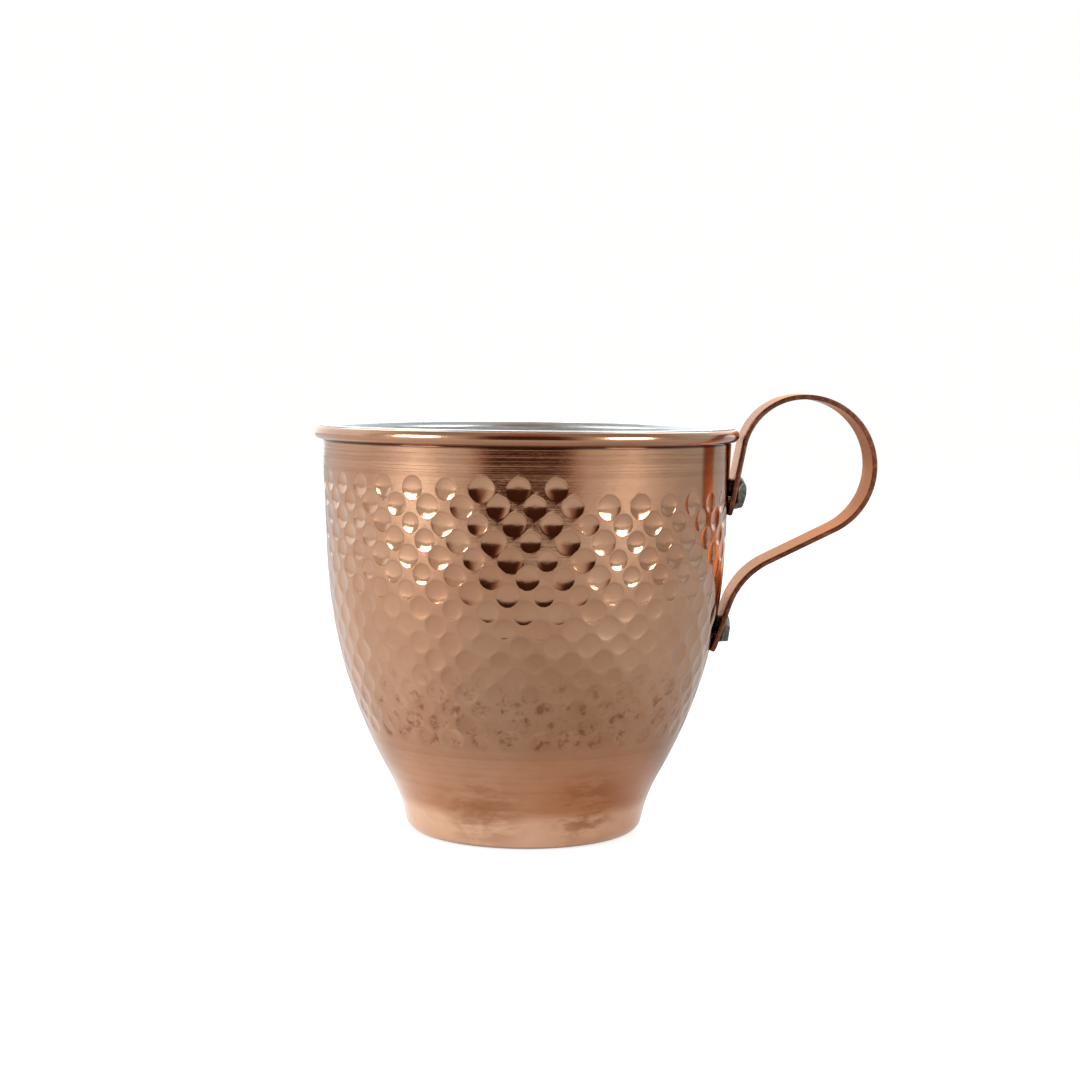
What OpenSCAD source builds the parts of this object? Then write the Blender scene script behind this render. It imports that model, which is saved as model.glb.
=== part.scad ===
// Hammered copper mug: a tinned cup with a rolled rim, a strap handle and two rivets.
// Millimetres. +Z is up, the base stands on z = 0, the cup's axis is the Z axis,
// and the handle is on the +X side.

/* [Cup] */
// Height from the table to the top of the rim
cup_height = 91; // [74:1:112]
// Widest diameter, across the rolled rim
rim_d = 95; // [78:1:116]
// Diameter of the flat that the cup stands on
base_flat_d = 47.6; // [39:0.1:58]
// Thickness of the copper sheet
wall_t = 0.9; // [0.7:0.05:1.1]
// Thickness of the tin on the inside
tin_t = 0.25; // [0.2:0.05:0.3]
// How far the rim stands out past the wall below it
rim_overhang = 1.65; // [1.3:0.05:2]
// Radius of the rolled rim
bead_r = 1.5; // [1.25:0.05:1.8]
// Lean of the straight upper wall, in degrees from upright
upper_taper = 2.6; // [2:0.1:3.2]
// Radius of the belly, where the wall turns in
belly_r = 109; // [90:1:131]
// Radius of the flare, where the wall turns upright again near the base
flare_r = 35.6; // [29:0.1:43]
// Lean of the wall where the flare meets the base corner
flare_end_lean = 11; // [8:0.5:14]
// Radius of the base corner
base_corner_r = 3; // [2.5:0.1:3.6]

/* [Handle] */
// Width of the strap
strap_w = 14.4; // [12:0.1:17.5]
// Thickness of the strap
strap_t = 1.1; // [0.9:0.05:1.35]
// Radius of the strap's corners at both tips
tip_corner_r = 3; // [2:0.1:3.6]
// Depth of the upper tip below the top of the rim
upper_tip_drop = 19.5; // [16:0.1:24]
// Depth of the lower tip below the top of the rim
lower_tip_drop = 50; // [41:0.1:60]
// Length of the straight upper foot
upper_foot_len = 15.8; // [13:0.1:19]
// Length of the straight lower foot
lower_foot_len = 11.3; // [9.4:0.1:13.6]
// Radius of the shoulder above the upper foot, at mid-thickness
shoulder_r = 13.6; // [11:0.1:16.5]
// Turn of the shoulder, in degrees
shoulder_turn = 73.6; // [61:0.1:89]
// Radius of the loop, at mid-thickness
loop_r = 15.5; // [12.9:0.1:18.6]
// Radius of the sweep above the lower foot, at mid-thickness
sweep_r = 17; // [14:0.1:20.5]
// Angle between the lower foot and the wall behind it
lower_splay = 5; // [4:0.5:6]

/* [Rivets] */
// Distance of each rivet from its tip of the strap
rivet_inset = 6.1; // [5:0.1:7.3]
// Diameter of a rivet's shank
shank_d = 4; // [3.3:0.1:4.8]
// Diameter of the outer head at its widest
outer_head_d = 7.8; // [6.5:0.1:9.4]
// Height of the outer head
outer_head_h = 2.6; // [2.1:0.1:3.1]
// Diameter of the outer head where it meets the strap
outer_seat_d = 6.2; // [5.2:0.1:7.4]
// Height at which the outer head is widest
outer_skirt_h = 1.1; // [0.9:0.05:1.3]
// Diameter of the outer head's side at its top edge
outer_side_d = 7; // [5.9:0.1:7.8]
// Height of that top edge
outer_side_h = 2; // [1.7:0.05:2.4]
// Diameter of the flat on the outer head
outer_crown_d = 3.9; // [3.3:0.1:4.6]
// Diameter of the inner head
inner_head_d = 7; // [5.8:0.1:8.4]
// Height of the inner head
inner_head_h = 1.1; // [0.9:0.05:1.3]
// Height at which the inner head is widest
inner_side_h = 0.7; // [0.6:0.05:0.85]
// Diameter of the flat on the inner head
inner_crown_d = 4.2; // [3.5:0.1:5]

/* [Fits] */
// How deep a foot of the strap is beaten into the wall at its tip
foot_bed = 0.35; // [0.3:0.05:0.45]
// Gap between the rim and the strap that passes it
rim_gap = 0.5; // [0.4:0.05:0.6]
// Gap round a rivet's shank in its holes
shank_gap = 0.05; // [0.04:0.01:0.06]
// Gap round the wire in the rolled rim
wire_gap = 0.02; // [0.01:0.01:0.03]

/* [Hidden] */
$fn = 96;

copper = [0.80, 0.47, 0.33];
tin = [0.80, 0.80, 0.78];
steel = [0.36, 0.36, 0.34];

lined_t = wall_t + tin_t;
belly_step = 1.6;
flare_step = 3;
corner_step = 12;
strap_step = 5;
// How far a cutter runs past the strap on each side
run_past = 1;

// The rolled rim's centre. The tin goes over its crest, so the crest is a little lower.
bead_x = rim_d / 2 - bead_r;
bead_z = cup_height - tin_t - bead_r;
wire_r = bead_r - wall_t - wire_gap;

// ---- the wall's outline, in the plane of radius and height ----

// A step out from the wall, where the wall leans by this angle
function out(lean) = [cos(lean), -sin(lean)];
// A step up along the wall
function up(lean) = [sin(lean), cos(lean)];

wall_top = [rim_d / 2 - rim_overhang, bead_z];
corner_centre = [base_flat_d / 2, base_corner_r];
flare_centre = corner_centre + (base_corner_r + flare_r) * out(flare_end_lean);

// The belly's arc touches the straight wall above it and the flare's arc below it,
// and the length of the straight wall follows from both.
arcs_apart = belly_r + flare_r;
to_flare = wall_top - belly_r * out(upper_taper) - flare_centre;
along = to_flare * up(upper_taper);
straight_len = along - sqrt(arcs_apart ^ 2 - to_flare * to_flare + along ^ 2);
belly_centre = wall_top - straight_len * up(upper_taper) - belly_r * out(upper_taper);
flare_lean = atan2(belly_centre.y - flare_centre.y, flare_centre.x - belly_centre.x);
belly_top_z = belly_centre.y - belly_r * sin(upper_taper);
belly_foot_z = belly_centre.y - belly_r * sin(flare_lean);

// Evenly spread angles from one to another, with steps no larger than the one given
function spread(first, last, step) =
    let (count = ceil(abs(last - first) / step))
    [for (i = [0 : count]) first + (last - first) * i / count];

// The wall's outline from the axis up to the rim, moved into the metal by inset
function outline(inset) = concat(
    [[0, inset]],
    [for (a = spread(90, flare_end_lean, corner_step))
        corner_centre + (base_corner_r - inset) * out(a)],
    [for (a = spread(flare_end_lean, flare_lean, flare_step))
        if (a > flare_end_lean) flare_centre - (flare_r + inset) * out(a)],
    [for (a = spread(flare_lean, upper_taper, belly_step))
        if (a < flare_lean) belly_centre + (belly_r - inset) * out(a)],
    [[wall_top.x - inset / cos(upper_taper), bead_z]]);

function reversed(list) = [for (i = [len(list) - 1 : -1 : 0]) list[i]];

// Outside radius and lean of the wall at a height on the belly or above it
function wall_x(z) = z > belly_top_z
    ? wall_top.x - (bead_z - z) * tan(upper_taper)
    : belly_centre.x + sqrt(belly_r ^ 2 - (belly_centre.y - z) ^ 2);
function wall_lean(z) = z > belly_top_z
    ? upper_taper
    : asin((belly_centre.y - z) / belly_r);

// ---- the handle's two feet ----

// A foot is [the inner edge of its tip in X and Z, its lean from upright]
upper_tip = let (z = cup_height - upper_tip_drop) [wall_x(z) - foot_bed, z];
lower_tip = let (z = cup_height - lower_tip_drop) [wall_x(z) - foot_bed, z];

// The upper foot leans out just far enough to pass the rim with rim_gap to spare.
to_bead = [bead_x, bead_z] - upper_tip;
upper_lean = atan2(to_bead.x, to_bead.y) + asin((bead_r + rim_gap) / norm(to_bead));
lower_lean = wall_lean(lower_tip.y) + lower_splay;

upper_foot = [upper_tip, upper_lean];
lower_foot = [lower_tip, lower_lean];

// ---- the handle's route, at mid-thickness, from the upper tip to the lower one ----

// Each arc starts where the piece before it ends, with the same lean.
shoulder_start = upper_tip + strap_t / 2 * out(upper_lean) + upper_foot_len * up(upper_lean);
shoulder_centre = shoulder_start + shoulder_r * out(upper_lean);
loop_start_lean = upper_lean + shoulder_turn;
loop_centre = shoulder_centre + (loop_r - shoulder_r) * out(loop_start_lean);
sweep_end = lower_tip + strap_t / 2 * out(lower_lean) + lower_foot_len * up(lower_lean);
sweep_centre = sweep_end + sweep_r * out(lower_lean);

// The straight run between the loop and the sweep touches both circles.
to_sweep = sweep_centre - loop_centre;
run_len = sqrt(to_sweep * to_sweep - (loop_r + sweep_r) ^ 2);
run_lean = atan2(to_sweep.x, to_sweep.y) + atan2(loop_r + sweep_r, run_len);
loop_end_lean = run_lean < loop_start_lean ? run_lean + 360 : run_lean;
sweep_start_lean = loop_end_lean - 180;

// The same route moved out from mid-thickness by offset, towards the outside of the loop.
// That is away from the centres of the shoulder and the loop, and towards the sweep's.
function strap_side(offset) = concat(
    [upper_tip + (strap_t / 2 - offset) * out(upper_lean)],
    [for (a = spread(upper_lean, loop_start_lean, strap_step))
        shoulder_centre - (shoulder_r + offset) * out(a)],
    [for (a = spread(loop_start_lean, loop_end_lean, strap_step))
        if (a > loop_start_lean) loop_centre - (loop_r + offset) * out(a)],
    [for (a = spread(sweep_start_lean, lower_lean, strap_step))
        sweep_centre - (sweep_r - offset) * out(a)],
    [lower_tip + (strap_t / 2 + offset) * out(lower_lean)]);

// ---- flat outlines ----

module sheet_outline(inner, outer) {
    polygon(concat(outline(outer), reversed(outline(inner))));
}

module bead_disc(radius) {
    translate([bead_x, bead_z]) circle(r = radius);
}

module copper_outline() {
    difference() {
        union() {
            sheet_outline(wall_t, 0);
            bead_disc(bead_r);
        }
        bead_disc(wire_r + wire_gap);
    }
}

// The tin on the wall, and on the inner half of the rolled rim up to its crest
module tin_outline() {
    inner_face_x = wall_top.x - wall_t / cos(upper_taper);
    difference() {
        union() {
            sheet_outline(lined_t, wall_t);
            intersection() {
                bead_disc(bead_r + tin_t);
                union() {
                    translate([bead_x - 2 * bead_r, bead_z]) square([2 * bead_r, 2 * bead_r]);
                    translate([inner_face_x - 2 * bead_r, bead_z - 2 * bead_r])
                        square([2 * bead_r, 4 * bead_r]);
                }
            }
        }
        copper_outline();
        bead_disc(wire_r + wire_gap);
    }
}

// ---- places on the handle's feet ----

// Local -X runs up the strap from its tip and local +Z points away from the cup.
// Local z = 0 is the strap's inner face.
module on_foot(foot) {
    translate([foot[0].x, 0, foot[0].y]) rotate([0, 90 + foot[1], 0]) children();
}

module at_rivet(foot) {
    on_foot(foot) translate([-rivet_inset, 0, 0]) children();
}

// The straight part of a foot as a plain block
module foot_block(foot, length) {
    on_foot(foot) translate([-length, -strap_w / 2, 0]) cube([length, strap_w, strap_t]);
}

// What is cut away to round one corner of a tip
module tip_corner() {
    cut_h = strap_t + 2 * run_past;
    translate([-tip_corner_r, strap_w / 2 - tip_corner_r, -run_past]) difference() {
        cube([tip_corner_r + run_past, tip_corner_r + run_past, cut_h]);
        translate([0, 0, -run_past]) cylinder(r = tip_corner_r, h = cut_h + 2 * run_past);
    }
}

// How far the tin's inner face lies behind the strap's inner face, along the rivet
function rivet_depth(foot) =
    let (centre = foot[0] + rivet_inset * up(foot[1]))
    let (lean = wall_lean(centre.y))
    (centre.x - wall_x(centre.y) + lined_t / cos(lean)) / (cos(foot[1]) + sin(foot[1]) * tan(lean));

module rivet_hole(foot) {
    reach = rivet_depth(foot) + inner_head_d;
    at_rivet(foot) translate([0, 0, -reach])
        cylinder(d = shank_d + 2 * shank_gap, h = reach + strap_t + run_past);
}

// ---- sub-parts ----

// The cup of one copper sheet, with its edge rolled outwards
module cup_shell() {
    color(copper) difference() {
        rotate_extrude() copper_outline();
        foot_block(upper_foot, upper_foot_len);
        foot_block(lower_foot, lower_foot_len);
        rivet_hole(upper_foot);
        rivet_hole(lower_foot);
    }
}

// The tin that covers the inside up to the crest of the rim
module tin_lining() {
    color(tin) difference() {
        rotate_extrude() tin_outline();
        rivet_hole(upper_foot);
        rivet_hole(lower_foot);
    }
}

// The wire that the rim is rolled round
module rim_wire() {
    color(steel) rotate_extrude() bead_disc(wire_r);
}

// The handle, one strap bent to a loop with a straight foot at each end
module handle_strap() {
    color(copper) difference() {
        rotate([90, 0, 0]) linear_extrude(height = strap_w, center = true)
            polygon(concat(strap_side(strap_t / 2), reversed(strap_side(-strap_t / 2))));
        for (foot = [upper_foot, lower_foot], side = [0, 1])
            on_foot(foot) mirror([0, side, 0]) tip_corner();
        rivet_hole(upper_foot);
        rivet_hole(lower_foot);
    }
}

// The space inside the tinned cup
module cavity() {
    rotate_extrude() polygon(concat(outline(lined_t), [[0, bead_z]]));
}

// A squat head: a skirt that flares out, then a flattened dome
module outer_head() {
    translate([0, 0, strap_t]) rotate_extrude() polygon([
        [0, 0],
        [outer_seat_d / 2, 0],
        [outer_head_d / 2, outer_skirt_h],
        [outer_side_d / 2, outer_side_h],
        [outer_crown_d / 2, outer_head_h],
        [0, outer_head_h]
    ]);
}

// A low button, long enough at the back to be trimmed to the lining
module inner_head_blank() {
    rotate_extrude() polygon([
        [0, -inner_head_h],
        [inner_crown_d / 2, -inner_head_h],
        [inner_head_d / 2, inner_side_h - inner_head_h],
        [inner_head_d / 2, inner_head_h],
        [0, inner_head_h]
    ]);
}

// A rivet: its outer head on the strap, its shank, and its inner head on the tin
module rivet(foot) {
    depth = rivet_depth(foot);
    color(steel) union() {
        at_rivet(foot) outer_head();
        at_rivet(foot) translate([0, 0, -depth - inner_head_h / 2])
            cylinder(d = shank_d, h = depth + inner_head_h / 2 + strap_t);
        intersection() {
            cavity();
            at_rivet(foot) translate([0, 0, -depth]) inner_head_blank();
        }
    }
}

module upper_rivet() {
    rivet(upper_foot);
}

module lower_rivet() {
    rivet(lower_foot);
}

cup_shell();
tin_lining();
rim_wire();
handle_strap();
upper_rivet();
lower_rivet();
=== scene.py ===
# %% [markdown]
# # A hammered copper mug
# The mug is a tapered cup of one copper sheet. A smith has hammered rows of round bowls
# into it, rolled its edge over a wire, wiped its inside with tin, and riveted on a handle
# that is one bent strap.
#
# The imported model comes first: it says where everything is, in metres. The CAD cup is
# smooth, so the pieces made here stand for it, on the same outline.

# %% Load the frame
from functools import partialmethod
from math import asin, atan2, ceil, cos, degrees, pi, radians, sin, sqrt, tan

import bmesh
import bpy
from mathutils import Matrix, Vector, noise


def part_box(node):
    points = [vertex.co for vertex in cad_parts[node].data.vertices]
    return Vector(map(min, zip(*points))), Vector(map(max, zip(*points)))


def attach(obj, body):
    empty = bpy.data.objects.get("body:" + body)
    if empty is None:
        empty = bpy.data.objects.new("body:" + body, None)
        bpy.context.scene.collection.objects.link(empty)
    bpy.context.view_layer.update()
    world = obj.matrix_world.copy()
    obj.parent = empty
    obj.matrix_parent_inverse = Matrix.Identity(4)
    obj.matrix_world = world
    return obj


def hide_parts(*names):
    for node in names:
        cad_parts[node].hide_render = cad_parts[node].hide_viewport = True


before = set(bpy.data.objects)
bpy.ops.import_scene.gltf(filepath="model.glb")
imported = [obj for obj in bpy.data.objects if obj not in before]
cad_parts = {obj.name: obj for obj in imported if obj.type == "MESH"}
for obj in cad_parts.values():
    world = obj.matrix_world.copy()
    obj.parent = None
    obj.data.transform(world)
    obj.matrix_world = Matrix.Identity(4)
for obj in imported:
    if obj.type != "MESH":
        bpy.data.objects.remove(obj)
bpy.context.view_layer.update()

scene = bpy.context.scene
MM = 0.001


def placed(name, data):
    """An object that holds this data, in the scene."""
    item = bpy.data.objects.new(name, data)
    scene.collection.objects.link(item)
    return item


_, CUP_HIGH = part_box("cup_shell")
_, LINING_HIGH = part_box("tin_lining")
STRAP_LOW, STRAP_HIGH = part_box("handle_strap")
print("cup", round(CUP_HIGH.z / MM, 2), "mm high,", round(2 * CUP_HIGH.x / MM, 2), "mm across")

# %% [markdown]
# ## The camera and the light
# The mug stands on a white table in a bright tent, with a soft box at each side and one
# behind. The camera sees the tent as plain white, and the copper sees more: an opening in
# front, through which a dark room shows, a dimmer side where the handle is, and a grey
# top. A polished bowl shows the opening as a brown crescent. The tent is a world shader
# that only knows the direction a ray leaves in, so it stays put whatever the view.

# %% Camera
camera = placed("camera", bpy.data.cameras.new("camera"))
camera.data.lens = 68.2
camera.data.sensor_width = 36
camera.location = (0, -0.460, 0.102)
CAMERA_YAW, CAMERA_PITCH, CAMERA_ROLL = radians(-0.39), radians(90 - 4.58), radians(0.6)
camera.rotation_euler = (
    Matrix.Rotation(CAMERA_YAW, 3, "Z")
    @ Matrix.Rotation(CAMERA_PITCH, 3, "X")
    @ Matrix.Rotation(CAMERA_ROLL, 3, "Z")
).to_euler()
scene.camera = camera
scene.view_settings.view_transform = "Standard"


# %% [markdown]
# ## Two helpers for node trees
# Formulas in a node tree are easier to read when they are written as formulas. A Number
# is the output of a node that can be added, multiplied and compared, and every sign puts
# one Math node into the tree. A Paint is a colour that others are laid over in turn.

# %% Node helpers
def feed(tree, socket, value):
    """Joins an output to a socket, or sets the socket's own value."""
    if isinstance(value, Number):
        value = value.socket
    if isinstance(value, bpy.types.NodeSocket):
        tree.links.new(value, socket)
    else:
        socket.default_value = value


def put(tree, kind, inputs=(), **settings):
    """Adds a node, sets its properties, and feeds its inputs by name or place."""
    node = tree.nodes.new(kind)
    for name, value in settings.items():
        setattr(node, name, value)
    for key, value in dict(inputs).items():
        feed(tree, node.inputs[key], value)
    return node


def join(tree, shader, **sockets):
    """Feeds a shader's sockets, whose names are written with _ for a space."""
    for name, value in sockets.items():
        feed(tree, shader.inputs[name.replace("_", " ")], value)


class Number:
    """An output of a node that can be used in a formula."""

    def __init__(self, socket):
        self.socket = socket
        self.tree = socket.id_data

    def math(self, operation, *others):
        node = put(self.tree, "ShaderNodeMath", enumerate((self, *others)), operation=operation)
        return Number(node.outputs[0])

    def __rsub__(self, other):
        return self * -1 + other

    def between(self, low, high):
        """0 at or below low, 1 at or above high, and a smooth step between them."""
        node = put(self.tree, "ShaderNodeMapRange",
                   {"Value": self, "From Min": low, "From Max": high}, interpolation_type="SMOOTHSTEP")
        return Number(node.outputs[0])

    def turned_from(self, first, last):
        """The same step for an angle, with its limits in degrees."""
        return self.between(radians(first), radians(last))


SIGNS = {"add": "ADD", "radd": "ADD", "sub": "SUBTRACT", "mul": "MULTIPLY", "rmul": "MULTIPLY",
         "truediv": "DIVIDE", "pow": "POWER", "lt": "LESS_THAN", "gt": "GREATER_THAN"}
for sign, operation in SIGNS.items():
    setattr(Number, f"__{sign}__", partialmethod(Number.math, operation))


def mixed(share, first, second):
    """first where share is 0 and second where it is 1."""
    if isinstance(first, Number):
        return first + (second - first) * share
    return share * (second - first) + first


def vector(tree, x=0.0, y=0.0, z=0.0):
    return put(tree, "ShaderNodeCombineXYZ", {0: x, 1: y, 2: z}).outputs[0]


def noise_at(tree, place, scale, detail, rough=0.5):
    node = put(tree, "ShaderNodeTexNoise",
               {"Vector": place, "Scale": scale, "Detail": detail, "Roughness": rough})
    return Number(node.outputs[0])


def distance_between(tree, first, second):
    node = put(tree, "ShaderNodeVectorMath", {0: first, 1: second}, operation="DISTANCE")
    return Number(node.outputs["Value"])


def parts_of(tree, socket):
    return [Number(out) for out in put(tree, "ShaderNodeSeparateXYZ", {0: socket}).outputs]


def bearing_of(x, y):
    """The angle round the cup: 0 in front of it, and more towards the handle."""
    return x.math("ARCTAN2", y * -1)


def in_use(tree, node, inputs):
    """Some nodes hide sockets that have the same names as the shown ones. This feeds the
    shown ones and returns the shown output."""
    for name, value in inputs.items():
        feed(tree, [s for s in node.inputs if s.enabled and s.name == name][0], value)
    return [s for s in node.outputs if s.enabled][0]


class Paint:
    """Two colours mixed, and the colours laid over them, each by a share from 0 to 1."""

    def __init__(self, tree, share, first, second):
        self.tree, self.socket = tree, (*first, 1)
        self.over(share, second)

    def over(self, share, colour):
        node = put(self.tree, "ShaderNodeMix", data_type="RGBA")
        second = colour.socket if isinstance(colour, Paint) else (*colour, 1)
        self.socket = in_use(self.tree, node, {"Factor": share, "A": self.socket, "B": second})


def new_material(name):
    """A material with its tree, its shader, and the place in the object's own metres."""
    material = bpy.data.materials.new(name)
    material.use_nodes = True
    tree = material.node_tree
    shader = tree.nodes["Principled BSDF"]
    place = put(tree, "ShaderNodeTexCoord").outputs["Object"]
    return material, tree, shader, place


# %% The tent
def tent_light():
    """White to the camera. In light and reflections the front is dark and the sides bright."""
    world = bpy.data.worlds.new("tent")
    world.use_nodes = True
    tree = world.node_tree
    tree.nodes.clear()
    x, y, z = parts_of(tree, put(tree, "ShaderNodeTexCoord").outputs["Generated"])
    bearing = bearing_of(x, y)
    side = bearing.math("ABSOLUTE")
    opening = (1 - z.between(-0.24, -0.12)) * 0.30 + 0.06
    handle_side = bearing.turned_from(45, 75) * (1 - bearing.turned_from(120, 160))
    past_side = side.turned_from(88, 102)
    walls = past_side * (0.62 - handle_side * 0.42) + 0.68 - handle_side * 0.20
    into_walls = side.turned_from(17, 36)
    top = z.between(0.55, 0.9)
    level = mixed(top, mixed(into_walls, opening, walls), 0.45)
    colour = Paint(tree, into_walls, (1.0, 0.40, 0.22), (1.0, 0.992, 0.975))
    colour.over(past_side * (1 - side.turned_from(125, 150)), (0.90, 1.02, 1.12))
    seen = Number(put(tree, "ShaderNodeLightPath").outputs["Is Camera Ray"])
    colour.over(seen, (1.0, 1.0, 0.995))
    light = put(tree, "ShaderNodeBackground",
                {"Color": colour.socket, "Strength": mixed(seen, level, 1.0)})
    put(tree, "ShaderNodeOutputWorld", {"Surface": light.outputs[0]})
    return world


scene.world = tent_light()


# %% Soft boxes
def soft_box(name, azimuth, elevation, distance, size, watts):
    """A lamp aimed at the cup's middle. Azimuth 0 is in front and 90 is on the handle's side."""
    middle = Vector((0, 0, CUP_HIGH.z / 2))
    lamp = placed(name, bpy.data.lights.new(name, "AREA"))
    lamp.data.shape = "RECTANGLE"
    lamp.data.size, lamp.data.size_y = size
    lamp.data.energy = watts
    lamp.data.color = (0.96, 1.0, 1.02)
    lamp.visible_camera = False
    a, e = radians(azimuth), radians(elevation)
    lamp.location = Vector((sin(a) * cos(e), -cos(a) * cos(e), sin(e))) * distance
    lamp.location += middle
    lamp.rotation_euler = (lamp.location - middle).to_track_quat("Z", "Y").to_euler()


soft_box("left_box", -60, 16, 0.9, (0.34, 0.34), 5)
soft_box("right_box", 55, 16, 0.9, (0.34, 0.34), 4.5)
soft_box("back_box", 180, 42, 1.1, (0.9, 0.5), 5)


# %% Table
def table_top():
    """White paper that ends in front of the cup. To the camera it is as white as the tent. In
    reflections it is dimmer, darker to the right as painted shade, and gives off more light to the left
    and near the cup."""
    reach, front = 1.6, -0.46
    mesh = bpy.data.meshes.new("table_top")
    corners = [(-reach, front, 0), (reach, front, 0), (reach, reach, 0), (-reach, reach, 0)]
    mesh.from_pydata(corners, [], [(0, 1, 2, 3)])
    table = placed("table_top", mesh)
    paper, tree, shader, place = new_material("white_paper")
    seen = Number(put(tree, "ShaderNodeLightPath").outputs["Is Camera Ray"])
    x, y, _ = parts_of(tree, place)
    bearing = bearing_of(x, y)
    to_left = bearing * -1
    not_back = 1 - bearing.math("ABSOLUTE").turned_from(125, 175)
    left = to_left.turned_from(20, 80) * not_back
    # Painted shade: in reflections the paper is darker to the right, on the handle's side.
    right = bearing.turned_from(15, 50) * not_back
    behind = to_left.turned_from(95, 120) * not_back
    near = 1 - (x * x + y * y).math("SQRT").between(36 * MM, 60 * MM)
    glow = left * 0.18 + behind * 0.12 + near * 0.24 + 0.04
    join(tree, shader, Base_Color=mixed(seen, 0.52 - right * 0.06, 0.60),
         Emission_Color=(1, 0.995, 0.985, 1), Emission_Strength=mixed(seen, glow, 0.66),
         Roughness=0.7, Specular_IOR_Level=0.1)
    mesh.materials.append(paper)


table_top()

# %% [markdown]
# ## The outline of the cup
# In the plane of radius and height the wall is a chain: the corner at the base, the
# flare, the belly, and a straight wall up to the rolled rim. Each arc touches the next,
# so the whole outline follows from a few radii. A place on the wall is its distance
# along this chain, which is how a smith would lay out the rows with a strip of paper.

# %% Outline values
SHEET = 0.9 * MM
TIN = LINING_HIGH.z - CUP_HIGH.z
BEAD_RADIUS = 1.5 * MM
RIM_OVERHANG = 1.65 * MM
WALL_TAPER = 2.6
BELLY_RADIUS = 109 * MM
FLARE_RADIUS = 35.6 * MM
FLARE_END_LEAN = 11
CORNER_RADIUS = 3 * MM
BASE_RADIUS = 23.8 * MM


def out(lean):
    """A step out from a wall that leans by this many degrees, in radius and height."""
    return Vector((cos(radians(lean)), -sin(radians(lean))))


def up(lean):
    return Vector((sin(radians(lean)), cos(radians(lean))))


bead_centre = Vector((CUP_HIGH.x - BEAD_RADIUS, CUP_HIGH.z - BEAD_RADIUS))
wall_top = Vector((CUP_HIGH.x - RIM_OVERHANG, bead_centre.y))
corner_centre = Vector((BASE_RADIUS, CORNER_RADIUS))
flare_centre = corner_centre + (CORNER_RADIUS + FLARE_RADIUS) * out(FLARE_END_LEAN)
to_flare = wall_top - BELLY_RADIUS * out(WALL_TAPER) - flare_centre
along = to_flare.dot(up(WALL_TAPER))
straight_length = along - sqrt((BELLY_RADIUS + FLARE_RADIUS) ** 2 - to_flare.length_squared + along ** 2)
belly_centre = wall_top - straight_length * up(WALL_TAPER) - BELLY_RADIUS * out(WALL_TAPER)
flare_lean = degrees(atan2(belly_centre.y - flare_centre.y, flare_centre.x - belly_centre.x))
belly_top_z = belly_centre.y - BELLY_RADIUS * sin(radians(WALL_TAPER))
print("straight wall", round(straight_length / MM, 2), "mm, flare meets belly at", round(flare_lean, 2))


# %% Outline as points
def ray(angle):
    """A unit step at this angle above the level, in radius and height."""
    return Vector((cos(radians(angle)), sin(radians(angle))))


def spread(first, last, count):
    """Evenly spaced values from first to last, with count steps."""
    return [first + (last - first) * i / count for i in range(count + 1)]


def wall_outline(inset=0.0, fine=1.0):
    """The wall from the base's edge to the rim, moved into the metal by inset."""
    corner = [corner_centre + (CORNER_RADIUS - inset) * out(a)
              for a in spread(90, FLARE_END_LEAN, ceil(12 * fine))]
    flare = [flare_centre - (FLARE_RADIUS + inset) * out(a)
             for a in spread(FLARE_END_LEAN, flare_lean, ceil(22 * fine))]
    belly = [belly_centre + (BELLY_RADIUS - inset) * out(a)
             for a in spread(flare_lean, WALL_TAPER, ceil(100 * fine))]
    top = wall_top - Vector((inset / cos(radians(WALL_TAPER)), 0))
    straight = [belly[-1] + (top - belly[-1]) * t for t in spread(0, 1, ceil(30 * fine))]
    return corner + flare[1:] + belly[1:] + straight[1:]


def lengths_along(points):
    total = [0.0]
    for first, second in zip(points, points[1:]):
        total.append(total[-1] + (second - first).length)
    return total


def point_at(points, distance):
    """The point that lies this far along a chain of points."""
    total = lengths_along(points)
    for i in range(1, len(points)):
        if total[i] >= distance:
            share = (distance - total[i - 1]) / (total[i] - total[i - 1])
            return points[i - 1].lerp(points[i], share)
    return points[-1].copy()


WALL = wall_outline()
WALL_LENGTH = lengths_along(WALL)[-1]
print("the wall is", round(WALL_LENGTH / MM, 1), "mm long from the base's edge to the rim")

# %% [markdown]
# ## The hammered wall
# The bowls sit in rows, each row half a step round from the one above, as bricks do, so
# every bowl owns a diamond of copper. A dense plain grid with a bump would blur their
# crisp edges. Here a Geometry Nodes tree lays one diamond of rings and spokes on every
# lattice point, so that an edge loop runs round each bowl, and then bends the flat
# pattern round the cup. A bowl is a shallow cap pushed into the wall, and where two
# bowls meet the deeper one wins, which leaves the sharp ridge between them.
#
# No two blows are alike: each bowl has its own width and depth, the rows drift and
# wander a little, and the top row stops short beside the handle.

# %% Hammer values
# A blow's weight sets how wide and how deep it is, and chance adds to its depth. A bowl
# and the lip round it may fill no more than these shares of its diamond.
COLUMNS = 37
ROWS = 16
ROW_PITCH = 3.62 * MM
COLUMN_STEP = 7.2 * MM
TOP_ROW = WALL_LENGTH - 10.3 * MM
FIRST_BLOW = radians(-2.0)
BOWL_RADIUS = 2.42 * MM
BOWL_DEPTH = 0.29 * MM
BOWL_LIP = 0.16 * MM
SPOKES_A_SIDE = 5
RINGS = 6
CAP_POWER = 3
WIDER_BY_WEIGHT, DEEPER_BY_WEIGHT = 0.26, 0.30
LEAST_DEPTH, MOST_DEPTH = 0.76, 1.12
SHALLOWER_LOW = 0.30
EDGE_ROOM, LIP_ROOM = 0.94, 0.98
RING_CROWDING = 1.6
WOBBLE_SCALE, WOBBLE_STRETCH = 2.1, 22
pattern_top = TOP_ROW + ROW_PITCH
pattern_foot = TOP_ROW - ROWS * ROW_PITCH
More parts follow.
